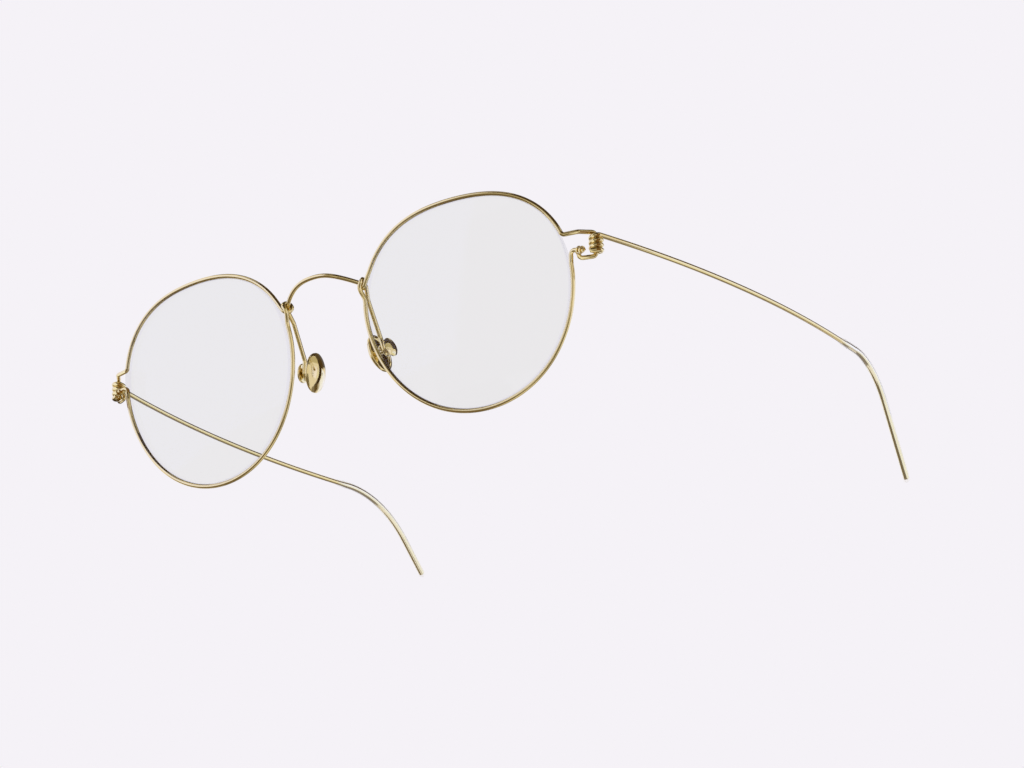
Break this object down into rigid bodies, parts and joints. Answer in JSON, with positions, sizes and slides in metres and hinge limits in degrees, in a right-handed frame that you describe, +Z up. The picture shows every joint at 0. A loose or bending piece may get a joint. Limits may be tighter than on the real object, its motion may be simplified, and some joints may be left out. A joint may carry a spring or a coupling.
{
  "type": "round eyeglasses",
  "caption": "Round wire eyeglasses with clear lenses, a wound wire bridge, coiled wire hinges, swivelling nose pads and clear sleeved temple tips.",
  "frame": {"origin": "on the surface the glasses rest on, under the centre of their bounding box", "axes": "+X to the wearer's left across the front, +Y back towards the ears, +Z up"},
  "size_m": [0.1402, 0.1366, 0.044],
  "materials": {
    "lens_clear": "clear, polished, faintly grey",
    "rim_wire_gold": "polished gold",
    "bridge_wire_gold": "polished gold",
    "temple_wire_gold": "polished gold",
    "nose_pad_gold": "polished gold",
    "pad_post_gold": "polished gold",
    "pad_cap_gold": "polished gold",
    "sleeve_clear": "clear, smooth"
  },
  "bodies": {
    "front": {"left_lens": "lens_clear", "right_lens": "lens_clear", "left_rim_wire": "rim_wire_gold", "right_rim_wire": "rim_wire_gold", "bridge_wire": "bridge_wire_gold"},
    "left_temple": {"left_temple_wire": "temple_wire_gold", "left_tip_sleeve": "sleeve_clear"},
    "right_temple": {"right_temple_wire": "temple_wire_gold", "right_tip_sleeve": "sleeve_clear"},
    "left_pad": {"left_nose_pad": "nose_pad_gold", "left_pad_post": "pad_post_gold", "left_pad_cap": "pad_cap_gold"},
    "right_pad": {"right_nose_pad": "nose_pad_gold", "right_pad_post": "pad_post_gold", "right_pad_cap": "pad_cap_gold"}
  },
  "joints": [
    {"name": "left_temple_fold", "type": "hinge", "parent": "front", "child": "left_temple", "pos_m": [0.06166, -0.05637, 0.02822], "axis": [0.0203, 0.1007, 0.9947], "range_deg": [0, 86]},
    {"name": "right_temple_fold", "type": "hinge", "parent": "front", "child": "right_temple", "pos_m": [-0.06166, -0.05637, 0.02822], "axis": [0.0203, -0.1007, -0.9947], "range_deg": [0, 90]},
    {"name": "left_pad_swivel", "type": "hinge", "parent": "front", "child": "left_pad", "pos_m": [0.00858, -0.05779, 0.01861], "axis": [0.977, -0.0593, 0.2049], "range_deg": [-20, 20]},
    {"name": "right_pad_swivel", "type": "hinge", "parent": "front", "child": "right_pad", "pos_m": [-0.00858, -0.05779, 0.01861], "axis": [0.977, 0.0593, -0.2049], "range_deg": [-20, 20]}
  ]
}
